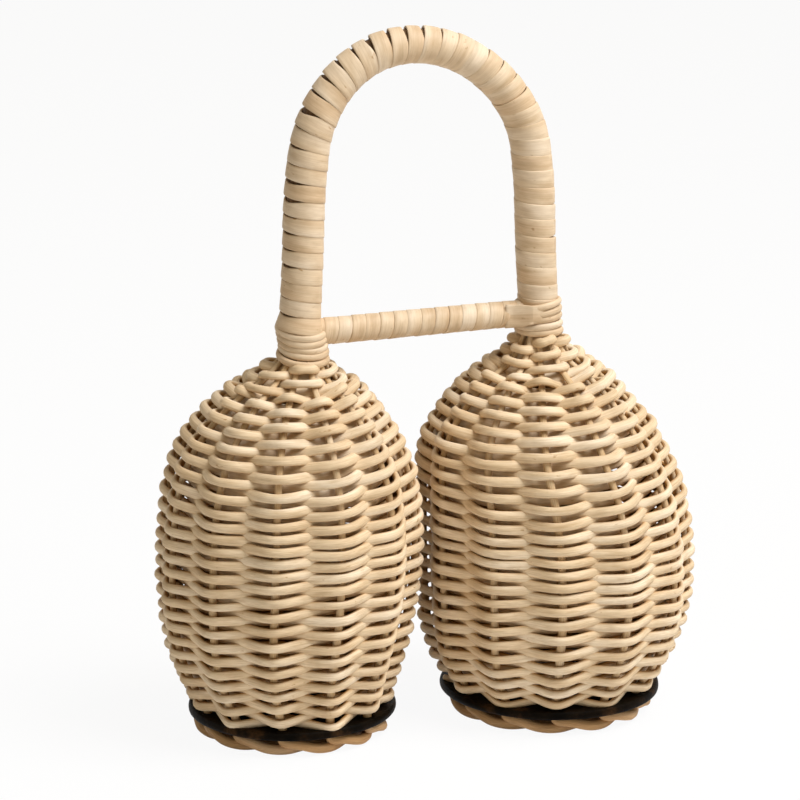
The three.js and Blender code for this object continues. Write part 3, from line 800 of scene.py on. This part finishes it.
def instrument():
    weaver_cane = cane("weaver_cane", (0.78, 0.6, 0.39), (0.86, 0.69, 0.48), (0.9, 0.76, 0.58), 0.6, 0.65)
    # Painted shade: the stakes' cane is browner than the weavers', for the shaded gaps of the weave where the
    # stakes show
    stake_cane = cane("stake_cane", (0.64, 0.45, 0.24), (0.74, 0.55, 0.33), (0.8, 0.64, 0.44), 0.65, 0.65,
                      foot=GOURD_TOP)
    wrap_cane = cane("wrap_cane", (0.69, 0.51, 0.33), (0.76, 0.6, 0.42), (0.81, 0.67, 0.51), 0.55, 0.4)
    shell = gourd_shell()
    skin = seed_skin()
    wood = stick_wood()
    baskets = [
        Basket(
            "left", side=-1, stake_angle=6.2, collar=127, woven=124.8,
            lean=[(0.5, -2.5, GOURD_TOP), (2.4, -2.3, 24), (1.3, -1.5, 65), (0.7, -0.5, 100), (0, -0.2, 110),
                  (-1.8, 0, 120), (-3.2, 0, 127), (-2.2, 0, 136)],
            outer=[(33.2, GOURD_TOP), (41.3, 34), (44, 62), (40, 91), (27.6, 109), (14, 119.5)],
        ),
        Basket(
            "right", side=1, stake_angle=11.6, collar=127, woven=126.8,
            lean=[(0.8, 4.5, GOURD_TOP), (1.5, 4.3, 25), (2.7, 3.5, 46), (1.1, 2, 75), (-2, 1, 92),
                  (-2.6, 0.4, 105), (-2.3, 0, 116), (-2.6, 0, 127), (-3.3, 0, 137)],
            outer=[(34.9, GOURD_TOP), (41.3, 20), (45, 31), (46.6, 54), (41, 90), (27, 109), (13.4, 119)],
        ),
    ]
    for basket in baskets:
        for k in range(STAKES):
            stake(basket, k, stake_cane)
        weave(basket, 0, weaver_cane)
        weave(basket, 1, weaver_cane)
        gourd_disc(basket, shell)
        for k in range(SEEDS):
            seed(basket, k, k >= THROWN_SEEDS, skin)
    neck_binding(baskets[0], wrap_cane, turns=4.75, low=124.6, high=134.6, tilt=(0.0, 0.2), start=0.0)
    neck_binding(baskets[1], wrap_cane, turns=5.2, low=125.8, high=137.3, tilt=(0.22, 0.0), start=math.pi)
    arch = Arch()
    handle_rod(arch, wood)
    handle_wraps(arch, wrap_cane)
    crossbar_wrap(wrap_cane)
    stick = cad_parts["crossbar_core"].data.materials
    stick.clear()
    stick.append(wood)


# Studio

CAMERA_TARGET = (-7.83, 0, 107.5)
CAMERA_DISTANCE = 1200
CAMERA_AZIMUTH = -19.5  # degrees, towards -X from the front
CAMERA_ELEVATION = 14.2
CAMERA_LENS = 167
SENSOR_WIDTH = 36
FLOOR_HALF = 6.0  # metres
FLOOR_WHITE = 0.93  # share of white in the floor that the camera sees


def direction(azimuth, elevation):
    a, e = math.radians(azimuth), math.radians(elevation)
    return Vector((math.sin(a) * math.cos(e), -math.cos(a) * math.cos(e), math.sin(e)))


def add_camera():
    data = bpy.data.cameras.new("camera")
    data.lens = CAMERA_LENS
    data.sensor_width = SENSOR_WIDTH
    camera = bpy.data.objects.new("camera", data)
    back = direction(CAMERA_AZIMUTH, CAMERA_ELEVATION)
    camera.location = (Vector(CAMERA_TARGET) + back * CAMERA_DISTANCE) * MM
    camera.rotation_euler = back.to_track_quat("Z", "Y").to_euler()
    bpy.context.scene.collection.objects.link(camera)
    bpy.context.scene.camera = camera


def add_lamp(name, azimuth, elevation, distance, size, watts, colour):
    """A square lamp that faces the instrument. Distance and size are in metres."""
    data = bpy.data.lights.new(name, "AREA")
    data.color = colour
    data.size = size
    data.energy = watts
    lamp = bpy.data.objects.new(name, data)
    back = direction(azimuth, elevation)
    lamp.location = Vector((0, 0, 0.1)) + back * distance
    lamp.rotation_euler = back.to_track_quat("Z", "Y").to_euler()
    bpy.context.scene.collection.objects.link(lamp)


def seen_directly(tree):
    """1 for what the camera sees, also in gloss or through glass."""
    path = add_node(tree, "ShaderNodeLightPath", {}).outputs
    seen = path["Is Camera Ray"]
    for ray in ("Is Glossy Ray", "Is Transmission Ray"):
        seen = add_node(tree, "ShaderNodeMath", {0: seen, 1: path[ray]}, operation="MAXIMUM").outputs[0]
    return seen


def show_white(tree, kind, share, lit, output):
    """A share of plain white in what the camera sees, over a shader that takes part in the light."""
    white = add_node(tree, kind, {"Color": (*WHITE, 1), "Strength": 1.0})
    shown = add_node(tree, "ShaderNodeMixShader", {0: share, 1: lit.outputs[0], 2: white.outputs[0]})
    tree.links.new(shown.outputs[0], tree.nodes[output].inputs["Surface"])


def add_world(ambient, colour):
    world = bpy.data.worlds.new("studio")
    world.use_nodes = True
    tree = world.node_tree
    light = tree.nodes["Background"]
    light.inputs["Color"].default_value = (*colour, 1)
    light.inputs["Strength"].default_value = ambient
    show_white(tree, "ShaderNodeBackground", seen_directly(tree), light, "World Output")
    bpy.context.scene.world = world


def add_floor():
    mesh = bpy.data.meshes.new("floor")
    corners = [(x * FLOOR_HALF, y * FLOOR_HALF, 0) for x, y in ((-1, -1), (1, -1), (1, 1), (-1, 1))]
    mesh.from_pydata(corners, [], [(0, 1, 2, 3)])
    material, tree, shader = surface("pale_floor", 0.0)
    shader.inputs["Base Color"].default_value = (0.9, 0.9, 0.9, 1)
    shader.inputs["Roughness"].default_value = 0.9
    share = add_node(tree, "ShaderNodeMath", {0: seen_directly(tree), 1: FLOOR_WHITE}, operation="MULTIPLY")
    show_white(tree, "ShaderNodeEmission", share.outputs[0], shader, "Material Output")
    add_piece("floor", mesh, material)


instrument()
add_camera()
add_floor()
add_world(ambient=0.25, colour=(1, 0.85, 0.58))
add_lamp("key", azimuth=45, elevation=58, distance=1.4, size=0.8, watts=23.6, colour=WHITE)
add_lamp("fill", azimuth=-70, elevation=25, distance=1.6, size=1.2, watts=0.3, colour=(1, 0.9, 0.75))
bpy.context.scene.view_settings.view_transform = "Standard"
